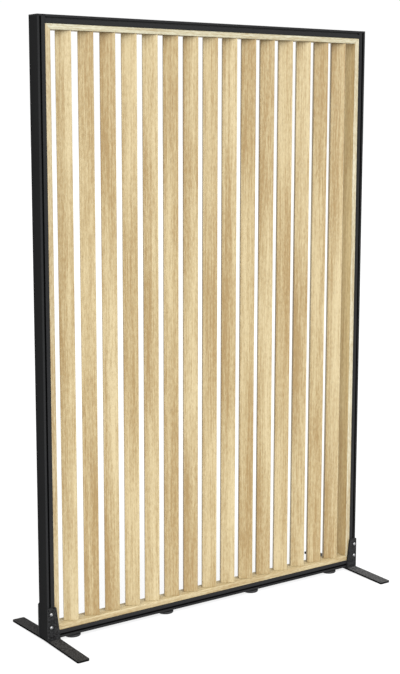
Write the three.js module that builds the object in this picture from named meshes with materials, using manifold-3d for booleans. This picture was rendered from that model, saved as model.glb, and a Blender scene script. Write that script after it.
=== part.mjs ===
// Free-standing privacy screen, in millimetres, +Z up.
// The origin is on the floor under the middle of the screen. +X runs along its width, and -Y is its front.
import * as THREE from 'three';
import { mergeVertices } from 'three/addons/utils/BufferGeometryUtils.js';
import Module from 'manifold-3d';

const wasm = await Module();
wasm.setup();

// Driving dimensions
const WIDTH = 1200;
const HEIGHT = 1800;
const DEPTH = 50;
const LIFT = 11; // underside of the frame above the floor
const GAP = 0.3; // clearance between pieces that touch

const STILE_FACE = 25;
const RAIL_FACE = 24;
const WALL = 2;
const SLOT_FROM_EDGE = 9.7; // middle of the T-slot from the outer edge of the extrusion
const SLOT_MOUTH = 6;
const SLOT_CHANNEL = 11;
const SLOT_LIP = 2;
const SLOT_DEPTH = 6.5;
const SLOT_WALL = 1.8;
const EXTRUSION_EDGE = 1.2;
const CAP_THICK = 5;
const CAP_TONGUE = 18;

const BOARD_THICK = 16;
const BOARD_RECESS = 1.5;
const BOARD_ARRIS = 1;

const SLAT_COUNT = 15;
const SLAT_PITCH = 72.3;
const SLAT_WIDE = 45;
const SLAT_THICK = 27;
const SLAT_EDGE = 1.3;
const SLAT_TURN = -30; // degrees about the vertical: the right-hand edge of each slat comes forward
const DOWEL_RADIUS = 4;
const DOWEL_IN_BOARD = 12;
const DOWEL_OFFSET = 12; // either side of the slat's middle, along its wide faces
const DOWEL_SIDES = 8;

const KEY_THICK = 9;
const KEY_WIDTH = 28;
const KEY_LEG = 70;
const KEY_WINDOW_CLEARANCE = 0.4;

const BAR_WIDTH = 40;
const BAR_THICK = 6;
const BAR_LENGTH = 402;
const BAR_DROOP = 4.7; // how far the ends lie below the middle
const BAR_CORNER = 5;
const PLATE_THICK = 6;
const PLATE_HEIGHT = 100;
const PLATE_TOP_WIDTH = 28;
const PLATE_FOOT_WIDTH = 41;
const PLATE_PROUD = 0.6;
const PLATE_CORNER = 5;
const FOOT_SCREW_HEIGHTS = [40, 80];
const FOOT_SCREW_RADIUS = 2.5;
const FOOT_SCREW_HEAD = 5.25;
const FOOT_SCREW_HEAD_HIGH = 3.2;
const NUT_STRIP_WIDE = 10;
const NUT_STRIP_THICK = 3.5;
const NUT_STRIP_PAST = 9; // how far the strip runs past its threads

const GLIDE_POSITIONS = [-502.5, -167.5, 167.5, 502.5];
const PAD_RADIUS = 25;
const PAD_HIGH = 8;
const STEM_RADIUS = 4;
const STEM_TOP = 29;
const STEM_FOOT = 7;

const BOTTOM = LIFT;
const TOP = LIFT + HEIGHT;
const MIDDLE = LIFT + HEIGHT / 2;
const HALF_WIDTH = WIDTH / 2;
const HALF_DEPTH = DEPTH / 2;
const INNER_TOP = TOP - RAIL_FACE - GAP - BOARD_THICK; // faces of the lining that the slats stand between
const INNER_BOTTOM = BOTTOM + RAIL_FACE + GAP + BOARD_THICK;
const KEY_FACE = HEIGHT / 2 - RAIL_FACE + WALL + GAP; // lining side of a key's lying leg, from mid-height

// Materials
function metalMaterial(colour, roughness) {
  return new THREE.MeshStandardMaterial({ color: colour, roughness, metalness: 0.6 });
}

function dullMaterial(colour, roughness) {
  return new THREE.MeshStandardMaterial({ color: colour, roughness, metalness: 0 });
}

const extrusionMaterial = () => metalMaterial(0x393a3c, 0.55);
const footMaterial = () => metalMaterial(0x34363a, 0.65);
const fastenerMaterial = () => metalMaterial(0xc4c6c8, 0.3);
const hiddenMetalMaterial = () => metalMaterial(0x9a9da0, 0.45);
const plasticMaterial = () => dullMaterial(0x1c1d1e, 0.7);
const liningMaterial = () => dullMaterial(0xd8c49a, 0.6);
const slatMaterial = () => dullMaterial(0xd6bd92, 0.6);

// Closed solids from geometry, and back
function solidOf(geometry) {
  const bare = geometry.clone();
  bare.deleteAttribute('normal');
  bare.deleteAttribute('uv');
  const merged = mergeVertices(bare, 1e-4);
  return new wasm.Manifold(new wasm.Mesh({
    numProp: 3,
    vertProperties: new Float32Array(merged.attributes.position.array),
    triVerts: new Uint32Array(merged.index.array),
  }));
}

function geometryOf(solid) {
  const mesh = solid.getMesh();
  const geometry = new THREE.BufferGeometry();
  geometry.setAttribute('position', new THREE.BufferAttribute(new Float32Array(mesh.vertProperties), 3));
  geometry.setIndex(new THREE.BufferAttribute(new Uint32Array(mesh.triVerts), 1));
  geometry.computeVertexNormals();
  return geometry;
}

function cut(geometry, cutters) {
  let solid = solidOf(geometry);
  for (const cutter of cutters) {
    solid = solid.subtract(solidOf(cutter));
  }
  return geometryOf(solid);
}

function join(geometries) {
  let solid = solidOf(geometries[0]);
  for (const geometry of geometries.slice(1)) {
    solid = solid.add(solidOf(geometry));
  }
  return geometryOf(solid);
}

function mesh(name, geometry, material) {
  const piece = new THREE.Mesh(geometry, material);
  piece.name = name;
  return piece;
}

function box(lowX, lowY, lowZ, highX, highY, highZ) {
  const geometry = new THREE.BoxGeometry(highX - lowX, highY - lowY, highZ - lowZ);
  geometry.translate((lowX + highX) / 2, (lowY + highY) / 2, (lowZ + highZ) / 2);
  return geometry;
}

// An upright cylinder between two heights
function upright(radius, low, high, sides, x = 0, y = 0) {
  const geometry = new THREE.CylinderGeometry(radius, radius, high - low, sides);
  geometry.rotateX(Math.PI / 2);
  geometry.translate(x, y, (low + high) / 2);
  return geometry;
}

// A solid of revolution about Z. Its [radius, height] pairs start and end on the axis, or form a loop.
function revolved(pairs, sides) {
  const points = pairs.map(([radius, height]) => new THREE.Vector2(radius, height));
  const geometry = new THREE.LatheGeometry(points, sides);
  geometry.rotateX(Math.PI / 2);
  return geometry;
}

function outline(points) {
  const shape = new THREE.Shape();
  shape.moveTo(points[0][0], points[0][1]);
  for (const [x, y] of points.slice(1)) {
    shape.lineTo(x, y);
  }
  shape.closePath();
  return shape;
}

// A polygon whose corners are rounded by short chords: each corner is [x, y, radius]
function roundedOutline(corners, segments) {
  const points = [];
  corners.forEach(([x, y, radius], index) => {
    if (!radius) {
      points.push([x, y]);
      return;
    }
    const here = new THREE.Vector2(x, y);
    const [lastX, lastY] = corners[(index + corners.length - 1) % corners.length];
    const [nextX, nextY] = corners[(index + 1) % corners.length];
    const before = new THREE.Vector2(lastX, lastY).sub(here).normalize();
    const after = new THREE.Vector2(nextX, nextY).sub(here).normalize();
    const half = Math.acos(before.dot(after)) / 2;
    const centre = before.clone().add(after).normalize().multiplyScalar(radius / Math.sin(half)).add(here);
    const start = here.clone().add(before.multiplyScalar(radius / Math.tan(half))).sub(centre);
    const end = here.clone().add(after.multiplyScalar(radius / Math.tan(half))).sub(centre);
    const from = start.angle();
    let sweep = end.angle() - from;
    if (sweep > Math.PI) sweep -= 2 * Math.PI;
    if (sweep < -Math.PI) sweep += 2 * Math.PI;
    for (let step = 0; step <= segments; step += 1) {
      const angle = from + sweep * step / segments;
      points.push([centre.x + radius * Math.cos(angle), centre.y + radius * Math.sin(angle)]);
    }
  });
  return outline(points);
}

function extruded(shape, length) {
  return new THREE.ExtrudeGeometry(shape, { depth: length, bevelEnabled: false });
}

// Frame extrusion. Its section lies in u, v: u runs from the outer edge inwards, v from rear to front.
function extrusionSection(face) {
  const half = DEPTH / 2;
  const mouthLow = SLOT_FROM_EDGE - SLOT_MOUTH / 2;
  const mouthHigh = SLOT_FROM_EDGE + SLOT_MOUTH / 2;
  const channelLow = SLOT_FROM_EDGE - SLOT_CHANNEL / 2;
  const channelHigh = SLOT_FROM_EDGE + SLOT_CHANNEL / 2;
  const front = [
    [face, half, EXTRUSION_EDGE],
    [mouthHigh, half, 0],
    [mouthHigh, half - SLOT_LIP, 0],
    [channelHigh, half - SLOT_LIP, 0],
    [channelHigh, half - SLOT_DEPTH, 0],
    [channelLow, half - SLOT_DEPTH, 0],
    [channelLow, half - SLOT_LIP, 0],
    [mouthLow, half - SLOT_LIP, 0],
    [mouthLow, half, 0],
    [0, half, EXTRUSION_EDGE],
  ];
  const rear = front.map(([u, v, radius]) => [u, -v, radius]).reverse();
  const shape = roundedOutline([...front, ...rear], 3);
  const waist = half - SLOT_DEPTH - SLOT_WALL;
  const pocket = channelHigh + SLOT_WALL;
  const chamber = outline([
    [WALL, -waist],
    [pocket, -waist],
    [pocket, WALL - half],
    [face - WALL, WALL - half],
    [face - WALL, half - WALL],
    [pocket, half - WALL],
    [pocket, waist],
    [WALL, waist],
  ]);
  shape.holes.push(chamber);
  return shape;
}

// Left stile, its profile running up. Its inner wall has a window at either end for the corner keys.
function stileGeometry() {
  const geometry = extruded(extrusionSection(STILE_FACE), HEIGHT - CAP_THICK - GAP);
  geometry.translate(-HALF_WIDTH, 0, BOTTOM);
  return cut(geometry, [keyWindow(1), keyWindow(-1)]);
}

function keyWindow(signZ) {
  const wall = -HALF_WIDTH + STILE_FACE;
  const far = KEY_FACE - KEY_WINDOW_CLEARANCE;
  const near = KEY_FACE + KEY_THICK + KEY_WINDOW_CLEARANCE;
  const half = KEY_WIDTH / 2 + KEY_WINDOW_CLEARANCE;
  const low = MIDDLE + Math.min(signZ * far, signZ * near);
  const high = MIDDLE + Math.max(signZ * far, signZ * near);
  return box(wall - WALL - 1, -half, low, wall + 1, half, high);
}

function railGeometry(isTop) {
  const length = WIDTH - 2 * STILE_FACE - 2 * GAP;
  const geometry = extruded(extrusionSection(RAIL_FACE), length);
  geometry.rotateY(Math.PI / 2);
  geometry.translate(-length / 2, 0, 0);
  if (isTop) {
    geometry.translate(0, 0, TOP);
    return geometryOf(solidOf(geometry));
  }
  geometry.rotateX(Math.PI);
  geometry.translate(0, 0, BOTTOM);
  return cut(geometry, GLIDE_POSITIONS.map((x) => upright(5.5, BOTTOM - 1, BOTTOM + WALL + 1, 12, x)));
}

// End cap of the left stile: a plate that covers the profile's end and a tongue down into its chamber
function capGeometry() {
  const plate = extruded(roundedOutline([
    [0, -HALF_DEPTH, EXTRUSION_EDGE],
    [STILE_FACE, -HALF_DEPTH, EXTRUSION_EDGE],
    [STILE_FACE, HALF_DEPTH, EXTRUSION_EDGE],
    [0, HALF_DEPTH, EXTRUSION_EDGE],
  ], 3), CAP_THICK);
  plate.translate(-HALF_WIDTH, 0, TOP - CAP_THICK);
  const high = TOP - CAP_THICK + 1;
  const keyOuter = -HALF_WIDTH + STILE_FACE - WALL - GAP - KEY_THICK;
  const tongue = box(-HALF_WIDTH + WALL + GAP, -15, high - CAP_TONGUE, keyOuter - 1, 15, high);
  return join([plate, tongue]);
}

// Corner key at the top left, pressed into the chambers: one leg down in the stile, one along the top rail
function keyGeometry() {
  const outerX = -HALF_WIDTH + STILE_FACE - WALL - GAP - KEY_THICK;
  const innerX = outerX + KEY_THICK;
  const lowZ = MIDDLE + KEY_FACE;
  const highZ = lowZ + KEY_THICK;
  const lead = 3;
  const shape = outline([
    [outerX, highZ - KEY_LEG + lead],
    [outerX + lead, highZ - KEY_LEG],
    [innerX, highZ - KEY_LEG],
    [innerX, lowZ],
    [outerX + KEY_LEG, lowZ],
    [outerX + KEY_LEG, highZ - lead],
    [outerX + KEY_LEG - lead, highZ],
    [outerX, highZ],
  ]);
  const geometry = extruded(shape, KEY_WIDTH);
  geometry.rotateX(Math.PI / 2);
  geometry.translate(0, KEY_WIDTH / 2, 0);
  return geometryOf(solidOf(geometry));
}

// Lining board with mitred ends. It is built along +Z with its outer face at x = 0, then turned into place.
function boardGeometry(outerLength) {
  const half = HALF_DEPTH - BOARD_RECESS;
  const shape = roundedOutline([
    [0, -half, 0.5],
    [BOARD_THICK, -half, BOARD_ARRIS],
    [BOARD_THICK, half, BOARD_ARRIS],
    [0, half, 0.5],
  ], 3);
  const length = outerLength - 2 * GAP;
  const geometry = extruded(shape, length);
  const position = geometry.attributes.position;
  for (let index = 0; index < position.count; index += 1) {
    const inset = position.getX(index) + GAP * 0.75;
    const z = position.getZ(index) > length / 2 ? length / 2 - inset : inset - length / 2;
    position.setZ(index, z);
  }
  return geometry;
}

function lyingBoard(isTop) {
  const geometry = boardGeometry(WIDTH - 2 * STILE_FACE);
  geometry.rotateY(Math.PI / 2);
  if (!isTop) {
    geometry.rotateX(Math.PI);
  }
  geometry.translate(0, 0, isTop ? TOP - RAIL_FACE - GAP : BOTTOM + RAIL_FACE + GAP);
  const sign = isTop ? 1 : -1;
  const face = isTop ? INNER_TOP : INNER_BOTTOM;
  const ends = [face - sign * 2, face + sign * (DOWEL_IN_BOARD + GAP)];
  const sockets = [];
  for (let index = 0; index < SLAT_COUNT; index += 1) {
    for (const side of [-1, 1]) {
      const socket = dowel(side, Math.min(...ends), Math.max(...ends), GAP);
      socket.rotateZ(THREE.MathUtils.degToRad(SLAT_TURN));
      socket.translate(slatX(index), 0, 0);
      sockets.push(socket);
    }
  }
  return cut(geometry, sockets);
}

function standingBoard() {
  const geometry = boardGeometry(HEIGHT - 2 * RAIL_FACE);
  geometry.translate(-HALF_WIDTH + STILE_FACE + GAP, 0, MIDDLE);
  return geometryOf(solidOf(geometry));
}

// Slats: upright louvres turned about the vertical, with two dowels glued into either end
function slatX(index) {
  return (index - (SLAT_COUNT - 1) / 2) * SLAT_PITCH;
}

// A dowel in the slat's own frame, or with clearance its socket in the lining
function dowel(side, low, high, clearance) {
  return upright(DOWEL_RADIUS + clearance, low, high, DOWEL_SIDES, side * DOWEL_OFFSET);
}

function slatGeometry() {
  const x = SLAT_WIDE / 2;
  const y = SLAT_THICK / 2;
  const shape = roundedOutline([
    [-x, -y, SLAT_EDGE],
    [x, -y, SLAT_EDGE],
    [x, y, SLAT_EDGE],
    [-x, y, SLAT_EDGE],
  ], 4);
  const length = INNER_TOP - INNER_BOTTOM - 2 * GAP;
  const pieces = [extruded(shape, length)];
  for (const side of [-1, 1]) {
    pieces.push(dowel(side, -DOWEL_IN_BOARD - GAP, 1, 0));
    pieces.push(dowel(side, length - 1, length + DOWEL_IN_BOARD + GAP, 0));
  }
  return join(pieces);
}

// Foot bar: flat steel, bent at the middle so that both arms slope down to their tips
function footBarGeometry() {
  const halfLength = BAR_LENGTH / 2;
  const high = LIFT - GAP;
  const profile = outline([
    [-halfLength, 0],
    [0, BAR_DROOP],
    [halfLength, 0],
    [halfLength, BAR_THICK],
    [0, high],
    [-halfLength, BAR_THICK],
  ]);
  const bar = extruded(profile, BAR_WIDTH);
  bar.rotateX(Math.PI / 2);
  bar.rotateZ(Math.PI / 2);
  bar.translate(-HALF_WIDTH, 0, 0);
  const plan = extruded(roundedOutline([
    [-HALF_WIDTH, -halfLength, BAR_CORNER],
    [-HALF_WIDTH + BAR_WIDTH, -halfLength, BAR_CORNER],
    [-HALF_WIDTH + BAR_WIDTH, halfLength, BAR_CORNER],
    [-HALF_WIDTH, halfLength, BAR_CORNER],
  ], 4), 40);
  plan.translate(0, 0, -10);
  return geometryOf(solidOf(bar).intersect(solidOf(plan)));
}

// Foot plate at the front left: it widens towards the foot bar on its inner side
function footPlateGeometry() {
  const low = LIFT - GAP - BAR_DROOP * (HALF_DEPTH / (BAR_LENGTH / 2)) + GAP;
  const outer = -HALF_WIDTH - PLATE_PROUD;
  const shape = roundedOutline([
    [outer, low, 0],
    [outer + PLATE_FOOT_WIDTH, low, 0],
    [outer + PLATE_TOP_WIDTH, LIFT + PLATE_HEIGHT, PLATE_CORNER],
    [outer, LIFT + PLATE_HEIGHT, PLATE_CORNER],
  ], 4);
  const geometry = extruded(shape, PLATE_THICK - GAP);
  geometry.rotateX(Math.PI / 2);
  geometry.translate(0, -HALF_DEPTH - GAP, 0);
  const holes = FOOT_SCREW_HEIGHTS.map((height) => {
    const hole = new THREE.CylinderGeometry(FOOT_SCREW_RADIUS + 0.4, FOOT_SCREW_RADIUS + 0.4, 20, 12);
    hole.translate(-HALF_WIDTH + SLOT_FROM_EDGE, -HALF_DEPTH, LIFT + height);
    return hole;
  });
  return cut(geometry, holes);
}

// Button-head screw along +Y, its head's underside at the origin, with a hexagon socket
function buttonScrew() {
  const rim = FOOT_SCREW_HEAD;
  const body = revolved([
    [0, -FOOT_SCREW_HEAD_HIGH],
    [rim * 0.5, -FOOT_SCREW_HEAD_HIGH],
    [rim * 0.8, -FOOT_SCREW_HEAD_HIGH * 0.72],
    [rim, -FOOT_SCREW_HEAD_HIGH * 0.18],
    [rim, 0],
    [FOOT_SCREW_RADIUS, 0],
    [FOOT_SCREW_RADIUS, PLATE_THICK + 5.6],
    [0, PLATE_THICK + 5.6],
  ], 12);
  const socket = upright(2.2, -FOOT_SCREW_HEAD_HIGH - 1, -1.2, 6);
  const screw = cut(body, [socket]);
  screw.rotateX(-Math.PI / 2);
  return screw;
}

// One screw of the front left foot plate, at a height above the frame's lower edge
function footScrewGeometry(height) {
  const screw = buttonScrew();
  screw.translate(-HALF_WIDTH + SLOT_FROM_EDGE, -HALF_DEPTH - PLATE_THICK - GAP, LIFT + height);
  return screw;
}

// Threaded strip behind the lips of the T-slot at the front left, which the two foot screws draw up tight
function nutStripGeometry() {
  const middleX = -HALF_WIDTH + SLOT_FROM_EDGE;
  const near = -HALF_DEPTH + SLOT_LIP + GAP;
  const strip = box(
    middleX - NUT_STRIP_WIDE / 2,
    near,
    LIFT + Math.min(...FOOT_SCREW_HEIGHTS) - NUT_STRIP_PAST,
    middleX + NUT_STRIP_WIDE / 2,
    near + NUT_STRIP_THICK,
    LIFT + Math.max(...FOOT_SCREW_HEIGHTS) + NUT_STRIP_PAST,
  );
  const threads = FOOT_SCREW_HEIGHTS.map((height) => {
    const thread = new THREE.CylinderGeometry(FOOT_SCREW_RADIUS + GAP, FOOT_SCREW_RADIUS + GAP, 20, 12);
    thread.translate(middleX, -HALF_DEPTH, LIFT + height);
    return thread;
  });
  return cut(strip, threads);
}

// Levelling glide: a round pad that stays still on the floor and holds the foot of a threaded stem
function padGeometry() {
  return revolved([
    [0, 0],
    [PAD_RADIUS - 1.5, 0],
    [PAD_RADIUS, 1.5],
    [PAD_RADIUS, PAD_HIGH - 2],
    [PAD_RADIUS - 2, PAD_HIGH - 0.4],
    [STEM_FOOT + 2.5, PAD_HIGH],
    [STEM_FOOT + GAP, PAD_HIGH],
    [STEM_FOOT + GAP, 3],
    [0, 3],
  ], 20);
}

function stemGeometry() {
  const foot = revolved([
    [0, 3 + GAP],
    [STEM_FOOT - 1, 3 + GAP],
    [STEM_FOOT, 4.3],
    [STEM_FOOT, 6],
    [STEM_RADIUS, 7.5],
    [STEM_RADIUS, STEM_TOP - 1],
    [STEM_RADIUS - 1, STEM_TOP],
    [0, STEM_TOP],
  ], 12);
  // hexagon socket in the top end
  return cut(foot, [upright(2, STEM_TOP - 4, STEM_TOP + 1, 6)]);
}

// Rivet nut clinched into the bottom rail's lower wall, which carries the stem's thread
function insertGeometry() {
  return revolved([
    [STEM_RADIUS + GAP, BOTTOM - 1.3],
    [7, BOTTOM - 1.3],
    [7, BOTTOM - GAP],
    [5.2, BOTTOM - GAP],
    [5.2, BOTTOM + WALL + GAP],
    [6.6, BOTTOM + WALL + GAP],
    [5.4, BOTTOM + WALL + 3],
    [5.4, BOTTOM + 14],
    [STEM_RADIUS + GAP, BOTTOM + 14],
    [STEM_RADIUS + GAP, BOTTOM - 1.3],
  ], 12);
}

// The right-hand and lower copies are mirror images, so their triangles are turned round to keep facing out
function mirrored(geometry, signX, signZ) {
  const copy = mergeVertices(geometry.clone());
  const position = copy.attributes.position;
  for (let index = 0; index < position.count; index += 1) {
    position.setX(index, signX * position.getX(index));
    position.setZ(index, MIDDLE + signZ * (position.getZ(index) - MIDDLE));
  }
  if (signX * signZ < 0) {
    const corners = copy.index;
    for (let index = 0; index < corners.count; index += 3) {
      const second = corners.getX(index + 1);
      corners.setX(index + 1, corners.getX(index + 2));
      corners.setX(index + 2, second);
    }
  }
  copy.computeVertexNormals();
  return copy;
}

function frontToBack(geometry) {
  const copy = geometry.clone();
  copy.rotateZ(Math.PI);
  return mirrored(copy, -1, 1);
}

function aluminiumFrame() {
  const group = new THREE.Group();
  const stile = stileGeometry();
  const cap = capGeometry();
  const key = keyGeometry();
  group.add(mesh('stile_left', stile, extrusionMaterial()));
  group.add(mesh('stile_right', mirrored(stile, -1, 1), extrusionMaterial()));
  group.add(mesh('rail_top', railGeometry(true), extrusionMaterial()));
  group.add(mesh('rail_bottom', railGeometry(false), extrusionMaterial()));
  group.add(mesh('cap_left', cap, plasticMaterial()));
  group.add(mesh('cap_right', mirrored(cap, -1, 1), plasticMaterial()));
  [[1, 1], [-1, 1], [1, -1], [-1, -1]].forEach(([signX, signZ], index) => {
    group.add(mesh(`corner_key_${index + 1}`, mirrored(key, signX, signZ), hiddenMetalMaterial()));
  });
  return group;
}

function timberLining() {
  const group = new THREE.Group();
  const side = standingBoard();
  group.add(mesh('board_top', lyingBoard(true), liningMaterial()));
  group.add(mesh('board_bottom', lyingBoard(false), liningMaterial()));
  group.add(mesh('board_left', side, liningMaterial()));
  group.add(mesh('board_right', mirrored(side, -1, 1), liningMaterial()));
  return group;
}

function slatRow() {
  const group = new THREE.Group();
  const geometry = slatGeometry();
  for (let index = 0; index < SLAT_COUNT; index += 1) {
    const slat = mesh(`slat_${String(index + 1).padStart(2, '0')}`, geometry, slatMaterial());
    slat.position.set(slatX(index), 0, INNER_BOTTOM + GAP);
    slat.rotation.z = THREE.MathUtils.degToRad(SLAT_TURN);
    group.add(slat);
  }
  return group;
}

function feet() {
  const group = new THREE.Group();
  const bar = footBarGeometry();
  const plate = footPlateGeometry();
  const strip = nutStripGeometry();
  const lowerScrew = footScrewGeometry(FOOT_SCREW_HEIGHTS[0]);
  const upperScrew = footScrewGeometry(FOOT_SCREW_HEIGHTS[1]);
  for (const [side, signX] of [['left', 1], ['right', -1]]) {
    group.add(mesh(`foot_bar_${side}`, mirrored(bar, signX, 1), footMaterial()));
    for (const [end, placed] of [['front', (geometry) => geometry], ['rear', frontToBack]]) {
      const copy = (geometry) => mirrored(placed(geometry), signX, 1);
      group.add(mesh(`foot_plate_${end}_${side}`, copy(plate), footMaterial()));
      group.add(mesh(`slot_nut_${end}_${side}`, copy(strip), hiddenMetalMaterial()));
      group.add(mesh(`foot_screw_${end}_${side}_lower`, copy(lowerScrew), fastenerMaterial()));
      group.add(mesh(`foot_screw_${end}_${side}_upper`, copy(upperScrew), fastenerMaterial()));
    }
  }
  return group;
}

function glides() {
  const group = new THREE.Group();
  GLIDE_POSITIONS.forEach((x, index) => {
    const pieces = [
      mesh(`glide_pad_${index + 1}`, padGeometry(), plasticMaterial()),
      mesh(`glide_stem_${index + 1}`, stemGeometry(), fastenerMaterial()),
      mesh(`glide_insert_${index + 1}`, insertGeometry(), hiddenMetalMaterial()),
    ];
    for (const piece of pieces) {
      piece.position.x = x;
      group.add(piece);
    }
  });
  return group;
}

const screen = new THREE.Group();
screen.name = 'privacy_screen';
screen.add(aluminiumFrame());
screen.add(timberLining());
screen.add(slatRow());
screen.add(feet());
screen.add(glides());

export default screen;
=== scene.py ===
"""The looks of a free-standing privacy screen: black aluminium frame, oak lining and slats, flat steel feet.

Every length is in metres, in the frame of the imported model: the origin is on the floor under the middle of
the screen, +X runs along its width, -Y is its front and +Z is up.
"""
import math
from typing import NamedTuple

import bmesh
import bpy
from mathutils import Matrix, Vector


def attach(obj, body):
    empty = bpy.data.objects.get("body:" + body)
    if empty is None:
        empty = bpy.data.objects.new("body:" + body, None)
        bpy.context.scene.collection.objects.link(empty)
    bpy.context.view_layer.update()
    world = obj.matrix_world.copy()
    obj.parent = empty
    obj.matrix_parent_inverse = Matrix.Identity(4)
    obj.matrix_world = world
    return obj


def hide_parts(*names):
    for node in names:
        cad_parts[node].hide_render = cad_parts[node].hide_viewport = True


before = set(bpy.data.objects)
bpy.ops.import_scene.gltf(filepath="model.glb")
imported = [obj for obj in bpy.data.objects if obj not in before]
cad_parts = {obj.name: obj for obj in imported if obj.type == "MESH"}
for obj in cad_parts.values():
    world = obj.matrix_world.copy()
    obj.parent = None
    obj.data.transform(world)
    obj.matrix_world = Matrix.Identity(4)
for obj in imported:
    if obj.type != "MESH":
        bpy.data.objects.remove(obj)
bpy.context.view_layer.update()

# Camera, from the photograph's perspective: where it stands, where it points and its lens
CAMERA_PLACE = (-2.3952, -3.3504, 1.5095)
CAMERA_YAW = math.radians(35.15)
CAMERA_PITCH = math.radians(8.979)
CAMERA_ROLL = math.radians(0.075)
FOCAL_PIXELS = 1339.5
PHOTO_HEIGHT = 674
SENSOR = 36.0

# The whole screen
WIDTH = 1.2
HEIGHT = 1.8
DEPTH = 0.05
LIFT = 0.011
GAP = 0.0003
HALF_WIDTH = WIDTH / 2
HALF_DEPTH = DEPTH / 2
BOTTOM = LIFT
TOP = LIFT + HEIGHT
MIDDLE = LIFT + HEIGHT / 2

# Frame: the extrusion of stiles and rails, with a T-slot on its front and one on its rear, and the caps
STILE_FACE = 0.025
RAIL_FACE = 0.024
FRAME_EDGE = 0.0012
WALL = 0.002
SLOT_FROM_EDGE = 0.0097
SLOT_MOUTH = 0.006
SLOT_CHANNEL = 0.011
SLOT_LIP = 0.002
SLOT_DEPTH = 0.0065
SLOT_WALL = 0.0018
SLOT_EDGE = 0.0004
SLOT_FILLET = 0.0005
CAP_THICK = 0.005
CAP_EDGE = 0.0006

# Timber: the lining boards and the slats between them
BOARD_THICK = 0.016
BOARD_RECESS = 0.0015
BOARD_ARRIS = 0.001
BOARD_BACK_ARRIS = 0.0005
MITRE_GAP = GAP * 0.75
SLAT_COUNT = 15
SLAT_PITCH = 0.0723
SLAT_WIDE = 0.045
SLAT_THICK = 0.027
SLAT_ARRIS = 0.0013
SLAT_END_ARRIS = 0.0005
SLAT_TURN = math.radians(-30)
INNER_TOP = TOP - RAIL_FACE - GAP - BOARD_THICK
INNER_BOTTOM = BOTTOM + RAIL_FACE + GAP + BOARD_THICK

# Feet: bars that droop from their middle to their tips, plates, and button-head screws
BAR_HALF = 0.201
BAR_WIDE = 0.04
BAR_THICK = 0.006
BAR_DROOP = 0.0047
BAR_CORNER = 0.005
BAR_TIP_INSET = BAR_CORNER * 0.999
BAR_EDGE = 0.0007
BAR_STATIONS = (0.0, 0.02, 0.06, 0.1, 0.15)
PLATE_THICK = 0.006
PLATE_HIGH = 0.1
PLATE_WIDE_BELOW = 0.041
PLATE_WIDE_ABOVE = 0.028
PLATE_CORNER = 0.005
PLATE_EDGE = 0.0006
PLATE_PROUD = 0.0006
SCREW_HEIGHTS = {"lower": 0.04, "upper": 0.08}
SCREW_HOLE = 0.0029
SCREW_RADIUS = 0.0025
SCREW_LONG = 0.0116
HEAD_RADIUS = 0.00525
HEAD_HIGH = 0.0032
HEAD_FLAT = 0.0026
DOME_ANGLES = (2, 14, 28, 42, 56, 68)
SOCKET_RIM = 0.0022
SOCKET_RADIUS = 0.00175
SOCKET_FROM = 0.0001
SOCKET_DEEP = 0.0018

# Glides: radius and height of the pad's rings from the floor up, and of the stem's foot below its thread
GLIDES_AT = (-0.5025, -0.1675, 0.1675, 0.5025)
PAD_RINGS = (
    (0.0225, 0.0),
    (0.0239, 0.0004),
    (0.0247, 0.0012),
    (0.025, 0.0022),
    (0.025, 0.0056),
    (0.0247, 0.0066),
    (0.0238, 0.0073),
    (0.0225, 0.0076),
    (0.0125, 0.0079),
    (0.0095, 0.008),
    (0.0078, 0.008),
    (0.0073, 0.0077),
    (0.0073, 0.003),
)
STEM_FOOT = ((0.006, 0.0033), (0.007, 0.0043), (0.007, 0.006), (0.0036, 0.0077))
STEM_TIP = (0.0032, 0.029)
THREAD_RADIUS = 0.004
THREAD_DEPTH = 0.0006
THREAD_PITCH = 0.00125
THREAD_FROM = 0.0079
THREAD_TO = 0.0285

# Studio: the floor, the white surroundings and the key light, which stands to the left of straight ahead
FLOOR_HALF = 80.0
FLOOR_DARK = (0.14, 0.14, 0.14)
FLOOR_PALE = (0.15, 0.15, 0.15)
FLOOR_GLOW = 0.82
WHITE = (1.0, 1.0, 1.0, 1.0)
SKY_STRENGTH = 1.02
KEY_AZIMUTH = math.radians(6)
KEY_ELEVATION = math.radians(38)
KEY_SPREAD = math.radians(75)
KEY_STRENGTH = 5.75


# Materials ------------------------------------------------------------------------------------------------

class Layer(NamedTuple):
    """A noise drawn out along the grain: its cycles to the metre across the grain and along it, its settings,
    and how much it lightens or darkens the wood."""
    across: float
    along: float
    detail: float
    roughness: float = 0.5
    distortion: float = 0.0
    swing: float = 0.0


class Streak(NamedTuple):
    """A paler line along a board: where it runs, its half width and how much lighter it is."""
    at: float
    half_width: float
    lighter: float


class Figure(NamedTuple):
    """How a board's colour changes along it: the height of the figure's middle, the distances from there at
    which the change begins and ends, and how much lighter the wood is before and after it."""
    middle: float
    begins: float
    ends: float
    within: float
    beyond: float


class Powder(NamedTuple):
    """How a powder coat lies: its bumps to the metre, their depth and the contrast of its speckle."""
    grain: float
    depth: float
    contrast: float


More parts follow.
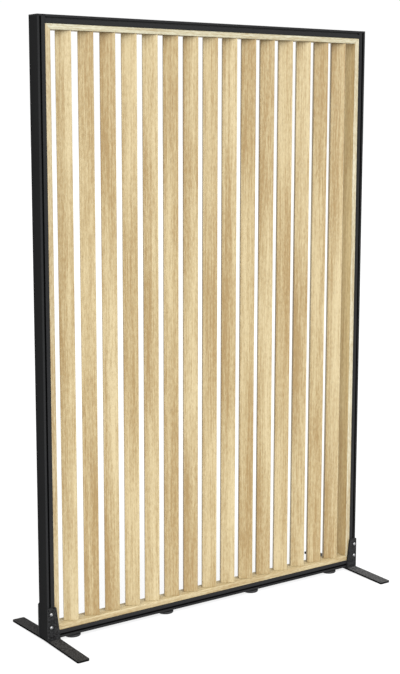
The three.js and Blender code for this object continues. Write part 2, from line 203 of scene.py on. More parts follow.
class Shader:
    """A material's node tree, with short ways to add a node and join it up."""

    # The Mix node's colours go by number, because its numbers and vectors have the same names
    FIRST_COLOUR = "6"
    SECOND_COLOUR = "7"
    MIXED_COLOUR = 2

    def __init__(self, name):
        self.material = bpy.data.materials.new(name)
        self.material.use_nodes = True
        self.tree = self.material.node_tree
        self.tree.nodes.clear()
        self.output = self.tree.nodes.new("ShaderNodeOutputMaterial")
        self.surface = self.tree.nodes.new("ShaderNodeBsdfPrincipled")
        self.tree.links.new(self.surface.outputs["BSDF"], self.output.inputs["Surface"])

    def node(self, kind, settings=None, **sockets):
        made = self.tree.nodes.new("ShaderNode" + kind)
        for key, value in (settings or {}).items():
            setattr(made, key, value)
        for key, value in sockets.items():
            self.feed(made, key, value)
        return made

    def feed(self, node, socket, value):
        """Joins a socket, by its name or number, to another node's output, or sets it to a plain value."""
        place = node.inputs[int(socket)] if socket.isdigit() else node.inputs[socket]
        if isinstance(value, bpy.types.NodeSocket):
            self.tree.links.new(value, place)
        else:
            place.default_value = value

    def coordinates(self, rotation=(0, 0, 0), location=(0, 0, 0)):
        source = self.node("TexCoord").outputs["Object"]
        return self.node("Mapping", Vector=source, Rotation=rotation, Location=location).outputs["Vector"]

    def vector_maths(self, operation, first, second):
        made = self.node("VectorMath", {"operation": operation}, **{"0": first, "1": second})
        return made.outputs["Vector"]

    def maths(self, operation, first, second=0.0):
        return self.node("Math", {"operation": operation}, **{"0": first, "1": second}).outputs["Value"]

    def noise(self, vector, scale=1.0, detail=2.0, roughness=0.5, distortion=0.0):
        settings = {"Scale": scale, "Detail": detail, "Roughness": roughness, "Distortion": distortion}
        return self.node("TexNoise", Vector=vector, **settings).outputs["Fac"]

    def drawn_out(self, vector, layer):
        """The noise of a Layer. The vector's Z runs along the grain."""
        scaled = self.vector_maths("MULTIPLY", vector, (layer.across, layer.across, layer.along))
        return self.noise(scaled, 1.0, layer.detail, layer.roughness, layer.distortion)

    def range(self, value, low, high, to_low=0.0, to_high=1.0, smooth=True):
        kind = {"interpolation_type": "SMOOTHSTEP" if smooth else "LINEAR"}
        limits = {"From Min": low, "From Max": high, "To Min": to_low, "To Max": to_high}
        return self.node("MapRange", kind, Value=value, **limits).outputs["Result"]

    def mix(self, factor, first, second, blend="MIX"):
        made = self.node("Mix", {"data_type": "RGBA", "blend_type": blend}, Factor=factor)
        for socket, value in ((self.FIRST_COLOUR, first), (self.SECOND_COLOUR, second)):
            plain = not isinstance(value, bpy.types.NodeSocket)
            self.feed(made, socket, (*value, 1.0) if plain else value)
        return made.outputs[self.MIXED_COLOUR]

    def bump(self, height, distance, strength):
        return self.node("Bump", Height=height, Distance=distance, Strength=strength).outputs["Normal"]

    def finish(self, colour, roughness, metallic=0.0, specular=0.5, normal=None):
        self.feed(self.surface, "Base Color", colour)
        self.feed(self.surface, "Roughness", roughness)
        self.surface.inputs["Metallic"].default_value = metallic
        self.surface.inputs["Specular IOR Level"].default_value = specular
        if normal is not None:
            self.feed(self.surface, "Normal", normal)
        return self.material


def tinted(colour, tint):
    return tuple(part * change for part, change in zip(colour, tint))


# Most of a noise's values lie between these
LOW = 0.3
HIGH = 0.7

# The oak's colours, and the lightness at which it has each of the first three
WOOD_DARK = (0.220, 0.149, 0.063)
WOOD_MID = (0.292, 0.228, 0.1205)
WOOD_LIGHT = (0.366, 0.302, 0.178)
PORE = (0.145, 0.105, 0.055)
DARK_AT = -0.1
MID_AT = 0.5
LIGHT_AT = 1.1
OAK_TONE = 0.45
PLAIN = (1.0, 1.0, 1.0)

# The oak's grain
OAK_LAYERS = {
    "broad": Layer(55, 1.5, detail=2.0, distortion=0.4, swing=0.16),
    "lines": Layer(290, 5.5, detail=3.0, roughness=0.62, distortion=0.25, swing=0.34),
    "patches": Layer(34, 4.2, detail=3.0, roughness=0.6, swing=0.17),
    "drifts": Layer(8, 1.9, detail=1.0, swing=0.05),
    "fine": Layer(950, 26, detail=2.0, roughness=0.6, swing=0.14),
    "mottle": Layer(230, 66, detail=3.0, roughness=0.65, swing=0.26),
}
FLECKS = Layer(520, 74, detail=2.0, roughness=0.55)
PORES = Layer(1500, 95, detail=1.0)

# How far streaks and figures stray from a straight line, and how a piece's seed moves its grain
SWAY = 0.02
SEED_STEP = (3.17, 1.71, 0.93)

# The noise at which a mark or a hollow begins and is full, and how strong it is at either
FLECK_MARKS = (0.58, 0.74, 0.0, 0.42)
PORE_MARKS = (0.62, 0.72, 0.0, 0.45)
PORE_HOLLOWS = (0.6, 0.74, 0.0, 1.0)

# How far from a lining board's middle its painted edge light begins and is full
PAINTED_EDGE_FROM = 0.0222
PAINTED_EDGE_FULL = 0.0226


def oak(name, rotation, seed, location=(0, 0, 0), tone=0.0, tint=PLAIN, painted_edge_light=None, streak=None, lean=0.0,
        figure=None):
    """Straight-grained oak. After the mapping, the grain runs along Z and the board's width along X.

    Tone lightens the wood, tint colours it, and lean makes one edge lighter than the other. On the lining
    boards the tint also holds painted light, and the edge tint paints sheen and shade onto the thin strips
    along their front and rear edges, which a figure leaves alone."""
    shader = Shader(name)
    grain = shader.coordinates(rotation, location)
    moved = shader.vector_maths("ADD", grain, tuple(seed * step for step in SEED_STEP))
    layers = {key: shader.drawn_out(moved, layer) for key, layer in OAK_LAYERS.items()}
    flecks = shader.drawn_out(moved, FLECKS)
    pores = shader.drawn_out(moved, PORES)
    place = shader.node("SeparateXYZ", Vector=grain)
    across, along = place.outputs["X"], place.outputs["Z"]
    sway = shader.maths("MULTIPLY", shader.maths("SUBTRACT", layers["broad"], 0.5), SWAY)
    # The thin edge strips, which take painted sheen and shade
    if painted_edge_light:
        depth = shader.node("SeparateXYZ", Vector=shader.node("TexCoord").outputs["Object"]).outputs["Y"]
        strip = shader.range(shader.maths("ABSOLUTE", depth), PAINTED_EDGE_FROM, PAINTED_EDGE_FULL)

    light = shader.maths("MULTIPLY", across, lean)
    light = shader.maths("ADD", light, OAK_TONE + tone)
    for key, noise in layers.items():
        swing = OAK_LAYERS[key].swing
        light = shader.maths("ADD", light, shader.range(noise, LOW, HIGH, -swing, swing))
    if streak:
        aside = shader.maths("SUBTRACT", shader.maths("ADD", across, sway), streak.at)
        aside = shader.maths("ABSOLUTE", aside)
        light = shader.maths("ADD", light, shader.range(aside, 0.0, streak.half_width, streak.lighter, 0.0))
    if figure:
        away = shader.maths("ADD", shader.maths("SUBTRACT", along, figure.middle), sway)
        away = shader.maths("ABSOLUTE", away)
        change = shader.range(away, figure.begins, figure.ends, figure.within, figure.beyond, smooth=False)
        if painted_edge_light:
            change = shader.maths("MULTIPLY", change, shader.maths("SUBTRACT", 1.0, strip))
        light = shader.maths("ADD", light, change)

    dark, mid, pale, pore = (tinted(colour, tint) for colour in (WOOD_DARK, WOOD_MID, WOOD_LIGHT, PORE))
    wood = shader.mix(shader.range(light, DARK_AT, MID_AT, smooth=False), dark, mid)
    wood = shader.mix(shader.range(light, MID_AT, LIGHT_AT, smooth=False), wood, pale)
    wood = shader.mix(shader.range(flecks, *FLECK_MARKS), wood, pore)
    wood = shader.mix(shader.range(pores, *PORE_MARKS), wood, pore)
    # Paint sheen and shade onto the edge strips
    if painted_edge_light:
        wood = shader.mix(strip, wood, shader.mix(1.0, wood, painted_edge_light, "MULTIPLY"))

    ridges = shader.maths("MULTIPLY", layers["fine"], 0.5)
    height = shader.maths("SUBTRACT", ridges, shader.range(pores, *PORE_HOLLOWS))
    normal = shader.bump(height, distance=0.00012, strength=0.6)
    roughness = shader.range(layers["lines"], 0.25, 0.75, 0.50, 0.64)
    return shader.finish(wood, roughness, specular=0.28, normal=normal)


def powder_coat(name, colour, powder, roughness, specular):
    """Powder-coated metal: an orange-peel skin with speckle and faint cloudiness."""
    shader = Shader(name)
    place = shader.coordinates()
    peel = shader.noise(place, scale=powder.grain, detail=2.0)
    speckle = shader.noise(place, scale=powder.grain * 0.35, detail=3.0)
    cloud = shader.noise(place, scale=7.0, detail=2.0)
    darker = tuple(part * (1 - powder.contrast) for part in colour)
    lighter = tuple(part * (1 + 1.2 * powder.contrast) for part in colour)
    skin = shader.mix(shader.range(speckle, LOW, HIGH), darker, lighter)
    skin = shader.mix(shader.range(cloud, LOW, HIGH, 0.0, 0.16), skin, lighter)
    rough = shader.range(cloud, LOW, HIGH, roughness - 0.04, roughness + 0.05)
    normal = shader.bump(peel, powder.depth, strength=0.8)
    return shader.finish(skin, rough, specular=specular, normal=normal)


def steel(name, colour, roughness, across, along):
    """Bright plated steel with fine tool marks, so many to the metre across and along the piece."""
    shader = Shader(name)
    place = shader.coordinates()
    marks = shader.drawn_out(place, Layer(across, along, detail=3.0, roughness=0.6))
    stain = shader.noise(place, scale=160.0, detail=2.0)
    duller = tuple(part * 0.82 for part in colour)
    skin = shader.mix(shader.range(stain, 0.35, HIGH), colour, duller)
    rough = shader.range(marks, LOW, HIGH, roughness - 0.07, roughness + 0.09)
    normal = shader.bump(marks, distance=0.00004, strength=0.7)
    return shader.finish(skin, rough, metallic=1.0, normal=normal)


def moulded_plastic(name, colour):
    """Black plastic with a fine grain and paler scuffs."""
    shader = Shader(name)
    place = shader.coordinates()
    grain = shader.noise(place, scale=1400.0, detail=2.0)
    scuff = shader.noise(place, scale=90.0, detail=3.0, roughness=0.6)
    lighter = tuple(part * 1.5 for part in colour)
    skin = shader.mix(shader.range(scuff, 0.45, 0.75, 0.0, 0.5), colour, lighter)
    rough = shader.range(scuff, LOW, HIGH, 0.52, 0.66)
    normal = shader.bump(grain, distance=0.00006, strength=0.6)
    return shader.finish(skin, rough, specular=0.3, normal=normal)


def floor_paint():
    """A white floor lit a little from within, so that shadows on it stay faint."""
    shader = Shader("pale_floor")
    cloud = shader.noise(shader.coordinates(), scale=1.3, detail=2.0)
    skin = shader.mix(shader.range(cloud, LOW, HIGH), FLOOR_DARK, FLOOR_PALE)
    shader.surface.inputs["Emission Color"].default_value = WHITE
    shader.surface.inputs["Emission Strength"].default_value = FLOOR_GLOW
    return shader.finish(skin, roughness=0.9, specular=0.0)


SMOOTH = Powder(grain=2600.0, depth=0.00003, contrast=0.28)
COARSE = Powder(grain=800.0, depth=0.00014, contrast=0.85)
COARSE_EDGE = Powder(grain=800.0, depth=0.00014, contrast=0.5)

FRAME_COAT = powder_coat("frame_coat", (0.0140, 0.0141, 0.0145), SMOOTH, roughness=0.36, specular=0.01)
# Painted light on the frame: the T-slots of the stiles and the bottom rail are painted darker, the top rail's
# T-slot paler, and the stiles' outer sides darker
SLOT_PAINTED_SHADE = powder_coat("slot_painted_shade", (0.0026, 0.0026, 0.0027), SMOOTH, roughness=0.6, specular=0.0)
TOP_SLOT_PAINTED_LIGHT = powder_coat("top_slot_painted_light", (0.0255, 0.0256, 0.0260), SMOOTH, roughness=0.5, specular=0.01)
SIDE_PAINTED_SHADE = powder_coat("side_painted_shade", (0.0124, 0.0125, 0.0127), SMOOTH, roughness=0.4, specular=0.0)
PLATE_COAT = powder_coat("foot_coat", (0.0105, 0.0106, 0.0108), COARSE, roughness=0.48, specular=0.06)
# The bars' tops are painted paler than the plates, the right bar's paler still, a painted sheen; their
# upright sides are painted darker, a painted shade
BAR_TOP_PAINTED_SHEEN = {
    "left": powder_coat("bar_left_painted_sheen", (0.0230, 0.0224, 0.0216), COARSE, roughness=0.52, specular=0.01),
    "right": powder_coat("bar_right_painted_sheen", (0.0400, 0.0399, 0.0398), COARSE, roughness=0.52, specular=0.03),
}
BAR_SIDE_PAINTED_SHADE = powder_coat("bar_side_painted_shade", (0.0055, 0.0055, 0.0056), COARSE_EDGE,
                            roughness=0.6, specular=0.0)
PLASTIC = moulded_plastic("black_plastic", (0.010, 0.010, 0.011))
SCREW_STEEL = steel("screw_steel", (0.31, 0.31, 0.315), roughness=0.34, across=900.0, along=900.0)
STEM_STEEL = steel("stem_steel", (0.56, 0.56, 0.57), roughness=0.32, across=1200.0, along=160.0)
KEY_METAL = steel("key_metal", (0.60, 0.61, 0.62), roughness=0.42, across=500.0, along=60.0)


# Mesh building --------------------------------------------------------------------------------------------

def rounded(corners, steps):
    """A closed outline from [x, y, radius] corners, each rounded by so many chords."""
    points = []
    count = len(corners)
    for index, (x, y, radius) in enumerate(corners):
        here = Vector((x, y))
        if not radius:
            points.append(here)
            continue
        before = (Vector(corners[index - 1][:2]) - here).normalized()
        after = (Vector(corners[(index + 1) % count][:2]) - here).normalized()
        half = before.angle(after) / 2
        centre = here + (before + after).normalized() * (radius / math.sin(half))
        start = here + before * (radius / math.tan(half)) - centre
        end = here + after * (radius / math.tan(half)) - centre
        sweep = math.atan2(start.x * end.y - start.y * end.x, start.dot(end))
        for step in range(steps + 1):
            angle = math.atan2(start.y, start.x) + sweep * step / steps
            points.append(centre + radius * Vector((math.cos(angle), math.sin(angle))))
    return points


def circle(x, y, radius, steps):
    turn = 2 * math.pi / steps
    return [Vector((x + radius * math.cos(turn * k), y + radius * math.sin(turn * k))) for k in range(steps)]


def prism(loops, length):
    """A solid with that outline and those holes, from z = 0 to z = length."""
    bm = bmesh.new()
    edges = []
    for loop in loops:
        verts = [bm.verts.new((point.x, point.y, 0.0)) for point in loop]
        edges += [bm.edges.new((verts[k - 1], verts[k])) for k in range(len(verts))]
    bmesh.ops.triangle_fill(bm, use_beauty=True, use_dissolve=False, edges=edges)
    base = list(bm.faces)
    made = bmesh.ops.extrude_face_region(bm, geom=base, use_keep_orig=True)
    top = [item for item in made["geom"] if isinstance(item, bmesh.types.BMVert)]
    bmesh.ops.translate(bm, verts=top, vec=(0, 0, length))
    bmesh.ops.recalc_face_normals(bm, faces=bm.faces)
    return bm


def loft(rows):
    """A solid through rows of points, each row a closed ring, with a face at either end."""
    bm = bmesh.new()
    rings = [[bm.verts.new(point) for point in row] for row in rows]
    for near, far in zip(rings, rings[1:]):
        for k in range(len(near)):
            bm.faces.new((near[k - 1], near[k], far[k], far[k - 1]))
    bm.faces.new(list(reversed(rings[0])))
    bm.faces.new(rings[-1])
    bmesh.ops.recalc_face_normals(bm, faces=bm.faces)
    return bm


def lathe(rings, steps, shape=None):
    """A solid of revolution about Z from [radius, z] rings.

    shape(index, angle, radius) may bend a ring out of round."""
    turn = 2 * math.pi / steps
    rows = []
    for index, (radius, z) in enumerate(rings):
        row = []
        for angle in (turn * k for k in range(steps)):
            reach = shape(index, angle, radius) if shape else radius
            row.append((reach * math.cos(angle), reach * math.sin(angle), z))
        rows.append(row)
    return loft(rows)


def piece(name, bm, material, body="screen", stands_for=(), smooth=35.0, bevel=0.0):
    """Makes the mesh an object that rides on a body and stands for its CAD nodes."""
    mesh = bpy.data.meshes.new(name)
    bm.to_mesh(mesh)
    bm.free()
    made = bpy.data.objects.new(name, mesh)
    bpy.context.collection.objects.link(made)
    mesh.materials.append(material)
    mesh.polygons.foreach_set("use_smooth", [True] * len(mesh.polygons))
    mesh.set_sharp_from_angle(angle=math.radians(smooth))
    if bevel:
        edge = made.modifiers.new("soft_edges", "BEVEL")
        edge.width = bevel
        edge.segments = 3
        edge.limit_method = "ANGLE"
        edge.angle_limit = math.radians(40)
        edge.harden_normals = False
    if stands_for:
        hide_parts(*stands_for)
    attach(made, body)
    return made


def mirror(bm, flip_x=False, flip_y=False, flip_z=False):
    """Mirror image about the planes x = 0, y = 0 and mid-height."""
    for vert in bm.verts:
        x, y, z = vert.co
        vert.co = (-x if flip_x else x, -y if flip_y else y, 2 * MIDDLE - z if flip_z else z)
    if (flip_x + flip_y + flip_z) % 2:
        bmesh.ops.reverse_faces(bm, faces=bm.faces)
    return bm


# Frame ----------------------------------------------------------------------------------------------------

def extrusion_loops(face):
    """Section of the extrusion and of its chamber: u from the outer edge inwards, v from rear to front."""
    half = HALF_DEPTH
    lip = half - SLOT_LIP
    floor = half - SLOT_DEPTH
    mouth = (SLOT_FROM_EDGE - SLOT_MOUTH / 2, SLOT_FROM_EDGE + SLOT_MOUTH / 2)
    channel = (SLOT_FROM_EDGE - SLOT_CHANNEL / 2, SLOT_FROM_EDGE + SLOT_CHANNEL / 2)
    front = [
        (face, half, FRAME_EDGE),
        (mouth[1], half, SLOT_EDGE),
        (mouth[1], lip, 0.0),
        (channel[1], lip, 0.0),
        (channel[1], floor, SLOT_FILLET),
        (channel[0], floor, SLOT_FILLET),
        (channel[0], lip, 0.0),
        (mouth[0], lip, 0.0),
        (mouth[0], half, SLOT_EDGE),
        (0.0, half, FRAME_EDGE),
    ]
    rear = [(u, -v, radius) for u, v, radius in reversed(front)]
    waist = floor - SLOT_WALL
    pocket = channel[1] + SLOT_WALL
    chamber = [
        (WALL, -waist, 0.0),
        (pocket, -waist, 0.0),
        (pocket, WALL - half, 0.0),
        (face - WALL, WALL - half, 0.0),
        (face - WALL, half - WALL, 0.0),
        (pocket, half - WALL, 0.0),
        (pocket, waist, 0.0),
        (WALL, waist, 0.0),
    ]
    return [rounded(front + rear, steps=5), rounded(chamber, steps=1)]


def extrusion(face, length):
    """A length of the extrusion along Z. Its T-slots take the second material, painted shade on the stiles
    and the bottom rail and painted light on the top rail. Its outer side takes the third material, which
    is painted shade on the stiles."""
    bm = prism(extrusion_loops(face), length)
    near = SLOT_EDGE
    for side in bm.faces:
        u, v, _ = side.calc_center_median()
        upright = abs(side.normal.z) < 0.5
        across_slot = abs(u - SLOT_FROM_EDGE) < SLOT_CHANNEL / 2 + near
        down_slot = SLOT_LIP - near / 2 < HALF_DEPTH - abs(v) < SLOT_DEPTH + near
        # Faces in the T-slots and on the outer side take the painted shade and painted light coats
        if upright and across_slot and down_slot:
            side.material_index = 1
        elif side.normal.x < -0.9 and u < near:
            side.material_index = 2
    return bm


def make_stile(side, flip):
    bm = extrusion(STILE_FACE, HEIGHT - CAP_THICK - GAP)
    bmesh.ops.translate(bm, verts=bm.verts, vec=(-HALF_WIDTH, 0, BOTTOM))
    mirror(bm, flip_x=flip)
    made = piece(f"stile_{side}_profile", bm, FRAME_COAT, stands_for=(f"stile_{side}",))
    # Painted shade in the T-slots and on the outer side
    made.data.materials.append(SLOT_PAINTED_SHADE)
    made.data.materials.append(SIDE_PAINTED_SHADE)


def make_rail(end):
    length = WIDTH - 2 * STILE_FACE - 2 * GAP
    bm = extrusion(RAIL_FACE, length)
    bmesh.ops.translate(bm, verts=bm.verts, vec=(0, 0, -length / 2))
    bmesh.ops.rotate(bm, verts=bm.verts, matrix=Matrix.Rotation(math.pi / 2, 3, "Y"))
    bmesh.ops.translate(bm, verts=bm.verts, vec=(0, 0, TOP))
    mirror(bm, flip_z=end == "bottom")
    made = piece(f"rail_{end}_profile", bm, FRAME_COAT, stands_for=(f"rail_{end}",))
    # Painted shade in the bottom rail's T-slot, painted light in the top rail's
    made.data.materials.append(SLOT_PAINTED_SHADE if end == "bottom" else TOP_SLOT_PAINTED_LIGHT)
    made.data.materials.append(FRAME_COAT)


def make_cap(side, flip):
    corners = ((0.0, -HALF_DEPTH), (STILE_FACE, -HALF_DEPTH), (STILE_FACE, HALF_DEPTH), (0.0, HALF_DEPTH))
    bm = prism([rounded([(*corner, FRAME_EDGE) for corner in corners], steps=5)], CAP_THICK)
    bmesh.ops.translate(bm, verts=bm.verts, vec=(-HALF_WIDTH, 0, TOP - CAP_THICK))
    mirror(bm, flip_x=flip)
    piece(f"cap_{side}_cover", bm, FRAME_COAT, stands_for=(f"cap_{side}",), bevel=CAP_EDGE)


# Timber ---------------------------------------------------------------------------------------------------

def make_board(side, outer_length, place, material):
    """Lining board along Z with its outer face at x = 0 and mitred ends, moved into place by a matrix."""
    half = HALF_DEPTH - BOARD_RECESS
    outline = rounded([
        (0.0, -half, BOARD_BACK_ARRIS),
        (BOARD_THICK, -half, BOARD_ARRIS),
        (BOARD_THICK, half, BOARD_ARRIS),
        (0.0, half, BOARD_BACK_ARRIS),
    ], steps=6)
    length = outer_length - 2 * GAP
    bm = prism([outline], length)
    for vert in bm.verts:
        inset = vert.co.x + MITRE_GAP
        vert.co.z = length / 2 - inset if vert.co.z > length / 2 else inset - length / 2
    bmesh.ops.transform(bm, matrix=place, verts=bm.verts)
    bmesh.ops.recalc_face_normals(bm, faces=bm.faces)
    piece(f"board_{side}_finished", bm, material, stands_for=(f"board_{side}",))


def make_lining():
    quarter = math.pi / 2
    lying = WIDTH - 2 * STILE_FACE
    standing = HEIGHT - 2 * RAIL_FACE
    top = Matrix.Translation((0, 0, TOP - RAIL_FACE - GAP)) @ Matrix.Rotation(quarter, 4, "Y")
    bottom = Matrix.Translation((0, 0, BOTTOM + RAIL_FACE + GAP)) @ Matrix.Rotation(-quarter, 4, "Y")
    left = Matrix.Translation((-HALF_WIDTH + STILE_FACE + GAP, 0, MIDDLE))
    right = Matrix.Translation((HALF_WIDTH - STILE_FACE - GAP, 0, MIDDLE)) @ Matrix.Rotation(math.pi, 4, "Z")
    along_x = (0, -quarter, 0)
    along_z = (0, 0, 0)
    # The boards' tints are partly their own tone and partly painted light: the top and right boards are
    # painted paler and bluer, a painted sheen, and the left board a little darker. The edge tints paint sheen
    # on the top and right boards' front strips and shade on the bottom board's.
    woods = {
        "top": oak("oak_top", along_x, 11.3, tint=(1.165, 1.243, 1.472), painted_edge_light=(0.85, 0.93, 1.01)),
        "bottom": oak("oak_bottom", along_x, 17.9, tint=(1.06, 1.094, 1.13), painted_edge_light=(0.913, 0.905, 0.918)),
        "left": oak("oak_left", along_z, 23.1, tint=(0.933, 0.96, 1.032)),
        "right": oak("oak_right", along_z, 31.7, tint=(1.46, 1.41, 1.27), painted_edge_light=(0.745, 0.875, 1.24),
                     figure=Figure(1.0, 0.10, 0.55, within=0.25, beyond=-0.22)),
    }
    make_board("top", lying, top, woods["top"])
    make_board("bottom", lying, bottom, woods["bottom"])
    make_board("left", standing, left, woods["left"])
    make_board("right", standing, right, woods["right"])


def slat_mesh():
    """One slat in its own frame: rounded edges, and ends that are very slightly eased."""
    x, y = SLAT_WIDE / 2, SLAT_THICK / 2
    length = INNER_TOP - INNER_BOTTOM - 2 * GAP
    corners = ((-x, -y), (x, -y), (x, y), (-x, y))
    outline = rounded([(*corner, SLAT_ARRIS) for corner in corners], steps=6)
    ease = SLAT_END_ARRIS
    rows = []
    for z, inset in ((0.0, ease), (ease, 0.0), (length - ease, 0.0), (length, ease)):
        rows.append([(point.x * (1 - inset / x), point.y * (1 - inset / y), z) for point in outline])
    return loft(rows)


# The slats alternate between two cuts of oak and go through four figures: lighter ends, a lighter middle, one
# lower down, and lighter ends again
SLAT_WOODS = (
    {"tone": -0.06, "tint": PLAIN, "streak": Streak(0.0095, 0.011, 0.24), "lean": 4.0},
    {"tone": -0.02, "tint": (0.98, 0.97, 0.95), "streak": Streak(-0.007, 0.013, 0.18), "lean": -5.0},
)
SLAT_FIGURES = (
    Figure(0.93, 0.10, 0.58, within=-0.22, beyond=0.25),
    Figure(1.01, 0.12, 0.50, within=0.25, beyond=-0.22),
    Figure(0.82, 0.14, 0.54, within=0.25, beyond=-0.22),
    Figure(0.93, 0.10, 0.58, within=-0.22, beyond=0.25),
)


def make_slats():
    turn = Matrix.Rotation(SLAT_TURN, 4, "Z")
    for index in range(SLAT_COUNT):
        name = f"slat_{index + 1:02d}"
        centre = Vector(((index - (SLAT_COUNT - 1) / 2) * SLAT_PITCH, 0, 0))
        back = -(turn.inverted() @ centre)
        figure = SLAT_FIGURES[index % len(SLAT_FIGURES)]
        wood = SLAT_WOODS[index % len(SLAT_WOODS)]
        seed = 3.7 + index * 1.9
        material = oak(f"oak_{name}", (0, 0, -SLAT_TURN), seed, tuple(back), figure=figure, **wood)
        bm = slat_mesh()
        place = Matrix.Translation((centre.x, 0, INNER_BOTTOM + GAP)) @ turn
        bmesh.ops.transform(bm, matrix=place, verts=bm.verts)
        piece(f"{name}_finished", bm, material, stands_for=(name,))


# Feet -----------------------------------------------------------------------------------------------------

def bar_station(y):
    """How far the bar's edges are drawn in, and how high its underside is, at a distance from its middle."""
    past = abs(y) - (BAR_HALF - BAR_CORNER)
    inset = BAR_CORNER - math.sqrt(max(BAR_CORNER ** 2 - past ** 2, 0.0)) if past > 0 else 0.0
    low = BAR_DROOP * (1 - abs(y) / BAR_HALF)
    return min(inset, BAR_TIP_INSET), low


def make_foot_bar(side, flip):
    ends = [BAR_HALF - BAR_CORNER * (1 - math.sin(math.radians(angle))) for angle in range(0, 91, 15)]
    rear = [*BAR_STATIONS, *ends]
    stations = [-y for y in reversed(rear[1:])] + rear
    rows = []
    for y in stations:
        inset, low = bar_station(y)
        left, right = -HALF_WIDTH + inset, -HALF_WIDTH + BAR_WIDE - inset
        high = low + BAR_THICK
        rows.append([(left, y, low), (right, y, low), (right, y, high), (left, y, high)])
    bm = loft(rows)
    # The upright sides take the second material, a painted shade; the top keeps the first, a painted sheen
    for face in bm.faces:
        if abs(face.normal.z) < 0.5:
            face.material_index = 1
    mirror(bm, flip_x=flip)
    name = f"foot_bar_{side}"
    coat = BAR_TOP_PAINTED_SHEEN[side]
    made = piece(f"{name}_finished", bm, coat, stands_for=(name,), bevel=BAR_EDGE, smooth=32)
    made.data.materials.append(BAR_SIDE_PAINTED_SHADE)


def make_foot_plate(end, side, flip_x, flip_y):
    low = LIFT - BAR_DROOP * HALF_DEPTH / BAR_HALF
    high = LIFT + PLATE_HIGH
    outer = -HALF_WIDTH - PLATE_PROUD
    outline = rounded([
        (outer, low, 0.0),
        (outer + PLATE_WIDE_BELOW, low, 0.0),
        (outer + PLATE_WIDE_ABOVE, high, PLATE_CORNER),
        (outer, high, PLATE_CORNER),
    ], steps=7)
    slot = -HALF_WIDTH + SLOT_FROM_EDGE
    holes = [circle(slot, LIFT + height, SCREW_HOLE, steps=20) for height in SCREW_HEIGHTS.values()]
    bm = prism([outline, *holes], PLATE_THICK - GAP)
    bmesh.ops.rotate(bm, verts=bm.verts, matrix=Matrix.Rotation(math.pi / 2, 3, "X"))
    bmesh.ops.translate(bm, verts=bm.verts, vec=(0, -HALF_DEPTH - GAP, 0))
    mirror(bm, flip_x=flip_x, flip_y=flip_y)
    name = f"foot_plate_{end}_{side}"
    piece(f"{name}_finished", bm, PLATE_COAT, stands_for=(name,), bevel=PLATE_EDGE)


def button_screw(height):
    """Button head with a hexagon socket. Its axis is Y and its head's underside is on the plate's face."""
    dome = []
    for angle in DOME_ANGLES:
        turn = math.radians(angle)
        dome.append((HEAD_RADIUS * math.cos(turn) ** 0.5, HEAD_HIGH * math.sin(turn)))
    round_rings = [
        (SCREW_RADIUS, -SCREW_LONG),
        (SCREW_RADIUS, 0.0),
        (HEAD_RADIUS, 0.0),
        *dome,
        (HEAD_FLAT, HEAD_HIGH),
        (SOCKET_RIM, HEAD_HIGH),
    ]
    socket_rings = [(SOCKET_RADIUS, HEAD_HIGH - SOCKET_FROM), (SOCKET_RADIUS, HEAD_HIGH - SOCKET_DEEP)]

    def hexagon(index, angle, radius):
        if index < len(round_rings):
            return radius
        wedge = (angle + math.pi / 6) % (math.pi / 3) - math.pi / 6
        return radius / math.cos(wedge)

    bm = lathe(round_rings + socket_rings, steps=36, shape=hexagon)
    bmesh.ops.rotate(bm, verts=bm.verts, matrix=Matrix.Rotation(math.pi / 2, 3, "X"))
    place = (-HALF_WIDTH + SLOT_FROM_EDGE, -HALF_DEPTH - PLATE_THICK - GAP, LIFT + height)
    bmesh.ops.translate(bm, verts=bm.verts, vec=place)
    return bm


def make_foot_screws(end, side, flip_x, flip_y):
    for level, height in SCREW_HEIGHTS.items():
        bm = mirror(button_screw(height), flip_x=flip_x, flip_y=flip_y)
        name = f"foot_screw_{end}_{side}_{level}"
        piece(f"{name}_finished", bm, SCREW_STEEL, stands_for=(name,), smooth=30)


def make_feet():
    for side, flip_x in (("left", False), ("right", True)):
        make_foot_bar(side, flip_x)
        for end, flip_y in (("front", False), ("rear", True)):
            make_foot_plate(end, side, flip_x, flip_y)
            make_foot_screws(end, side, flip_x, flip_y)


# Glides ---------------------------------------------------------------------------------------------------

def make_pad(index, x):
    bm = lathe(PAD_RINGS, steps=56)
    bmesh.ops.translate(bm, verts=bm.verts, vec=(x, 0, 0))
    name = f"glide_pad_{index}"
    piece(f"{name}_finished", bm, PLASTIC, f"glide_{index}", (name,), smooth=30)


def make_stem(index, x):
    """Threaded stem: each ring of its thread is a quarter of the pitch higher and a quarter turn on."""
    rise = THREAD_PITCH / 4
    count = int((THREAD_TO - THREAD_FROM) / rise)
    thread = [(THREAD_RADIUS, THREAD_FROM + level * rise) for level in range(count)]
    first = len(STEM_FOOT)

    def helix(level, angle, radius):
        if not first <= level < first + count:
            return radius
        phase = ((level - first) / 4 - angle / (2 * math.pi)) % 1.0
        return THREAD_RADIUS - THREAD_DEPTH * abs(1 - 2 * phase)

    bm = lathe([*STEM_FOOT, *thread, STEM_TIP], steps=24, shape=helix)
    bmesh.ops.translate(bm, verts=bm.verts, vec=(x, 0, 0))
    name = f"glide_stem_{index}"
    piece(f"{name}_threaded", bm, STEM_STEEL, f"glide_screw_{index}", (name,), smooth=50)


def make_glides():
    for index, x in enumerate(GLIDES_AT, 1):
        make_pad(index, x)
        make_stem(index, x)


def dress_hidden_metal():
    """Keys, slot nuts and inserts keep their CAD shapes."""
    for name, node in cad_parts.items():
        if name.startswith(("corner_key", "slot_nut", "glide_insert")):
            for slot in node.material_slots:
                slot.material = KEY_METAL


# Studio ---------------------------------------------------------------------------------------------------

def make_floor():
    bm = bmesh.new()
    bmesh.ops.create_grid(bm, x_segments=4, y_segments=4, size=FLOOR_HALF)
    mesh = bpy.data.meshes.new("floor")
    bm.to_mesh(mesh)
    bm.free()
    floor = bpy.data.objects.new("floor", mesh)
    bpy.context.collection.objects.link(floor)
    mesh.materials.append(floor_paint())


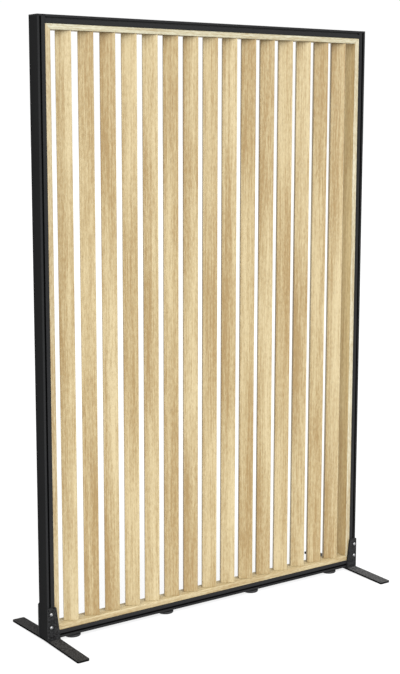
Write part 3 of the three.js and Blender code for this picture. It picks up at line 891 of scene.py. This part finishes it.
def make_key_light():
    """A wide soft sun from the front and above, a little to the left of straight ahead."""
    data = bpy.data.lights.new("key", "SUN")
    data.energy = KEY_STRENGTH
    data.angle = KEY_SPREAD
    light = bpy.data.objects.new("key", data)
    beam = Vector((
        math.sin(KEY_AZIMUTH) * math.cos(KEY_ELEVATION),
        math.cos(KEY_AZIMUTH) * math.cos(KEY_ELEVATION),
        -math.sin(KEY_ELEVATION),
    ))
    light.rotation_euler = beam.to_track_quat("-Z", "Y").to_euler()
    bpy.context.collection.objects.link(light)


def make_sky():
    scene = bpy.context.scene
    scene.view_settings.view_transform = "Standard"
    scene.world = bpy.data.worlds.new("studio")
    scene.world.use_nodes = True
    sky = scene.world.node_tree.nodes["Background"]
    sky.inputs["Color"].default_value = WHITE
    sky.inputs["Strength"].default_value = SKY_STRENGTH


def make_camera():
    data = bpy.data.cameras.new("camera")
    data.sensor_fit = "VERTICAL"
    data.sensor_height = SENSOR
    data.sensor_width = SENSOR
    data.lens = FOCAL_PIXELS / PHOTO_HEIGHT * SENSOR
    camera = bpy.data.objects.new("camera", data)
    camera.location = CAMERA_PLACE
    forward = Vector((
        math.sin(CAMERA_YAW) * math.cos(CAMERA_PITCH),
        math.cos(CAMERA_YAW) * math.cos(CAMERA_PITCH),
        -math.sin(CAMERA_PITCH),
    ))
    level = Vector((math.cos(CAMERA_YAW), -math.sin(CAMERA_YAW), 0.0))
    above = level.cross(forward)
    right = level * math.cos(CAMERA_ROLL) + above * math.sin(CAMERA_ROLL)
    up = above * math.cos(CAMERA_ROLL) - level * math.sin(CAMERA_ROLL)
    camera.rotation_euler = Matrix((right, up, -forward)).transposed().to_euler()
    bpy.context.collection.objects.link(camera)
    bpy.context.scene.camera = camera


make_camera()
make_sky()
make_key_light()
make_floor()
for end in ("top", "bottom"):
    make_rail(end)
for side, flip in (("left", False), ("right", True)):
    make_stile(side, flip)
    make_cap(side, flip)
make_lining()
make_slats()
make_feet()
make_glides()
dress_hidden_metal()
